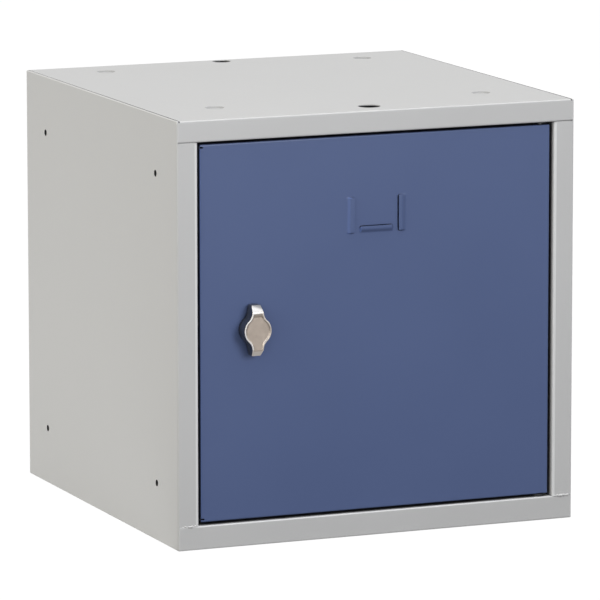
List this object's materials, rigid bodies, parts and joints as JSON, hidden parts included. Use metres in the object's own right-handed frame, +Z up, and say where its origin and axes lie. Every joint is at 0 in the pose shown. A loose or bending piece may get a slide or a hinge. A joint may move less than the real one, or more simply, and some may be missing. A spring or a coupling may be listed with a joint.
{
  "type": "cube locker",
  "caption": "Cube-shaped steel storage locker with a hinged door that a quarter-turn knob latches.",
  "frame": {"origin": "middle of the carcass base, on the surface that the locker stands on", "axes": "+X to the right seen from the front, +Y from the front to the back, +Z up; the door is on the -Y side"},
  "size_m": [0.38, 0.3922, 0.38],
  "materials": {
    "carcass_paint": "light grey powder coat, satin",
    "door_paint": "grey-blue powder coat, satin",
    "satin_nickel": "satin nickel plated casting",
    "zinc_plate": "bright zinc plated steel",
    "nylon": "black nylon",
    "rubber": "black moulded rubber"
  },
  "bodies": {
    "carcass": {"left_side_panel": "carcass_paint", "right_side_panel": "carcass_paint", "top_panel": "carcass_paint", "bottom_panel": "carcass_paint", "back_panel": "carcass_paint", "upper_hinge_bush": "nylon", "lower_hinge_bush": "nylon", "lower_thrust_washer": "nylon", "upper_door_buffer": "rubber", "lower_door_buffer": "rubber"},
    "door": {"door_panel": "door_paint", "door_stiffener": "door_paint", "upper_hinge_bracket": "zinc_plate", "lower_hinge_bracket": "zinc_plate", "upper_hinge_pin": "zinc_plate", "lower_hinge_pin": "zinc_plate", "lock_body": "zinc_plate", "lock_washer": "zinc_plate", "lock_nut": "zinc_plate"},
    "latch": {"turn_knob": "satin_nickel", "stop_washer": "zinc_plate", "latch_cam": "zinc_plate", "cam_washer": "zinc_plate", "cam_screw": "zinc_plate"}
  },
  "joints": [
    {"name": "door_hinge", "type": "hinge", "parent": "carcass", "child": "door", "pos_m": [0.1595, -0.1825, 0.19095], "axis": [0, 0, 1], "range_deg": [0, 105]},
    {"name": "knob_turn", "type": "hinge", "parent": "door", "child": "latch", "pos_m": [-0.1189, -0.1875, 0.19295], "axis": [0, 1, 0], "range_deg": [0, 90]}
  ]
}
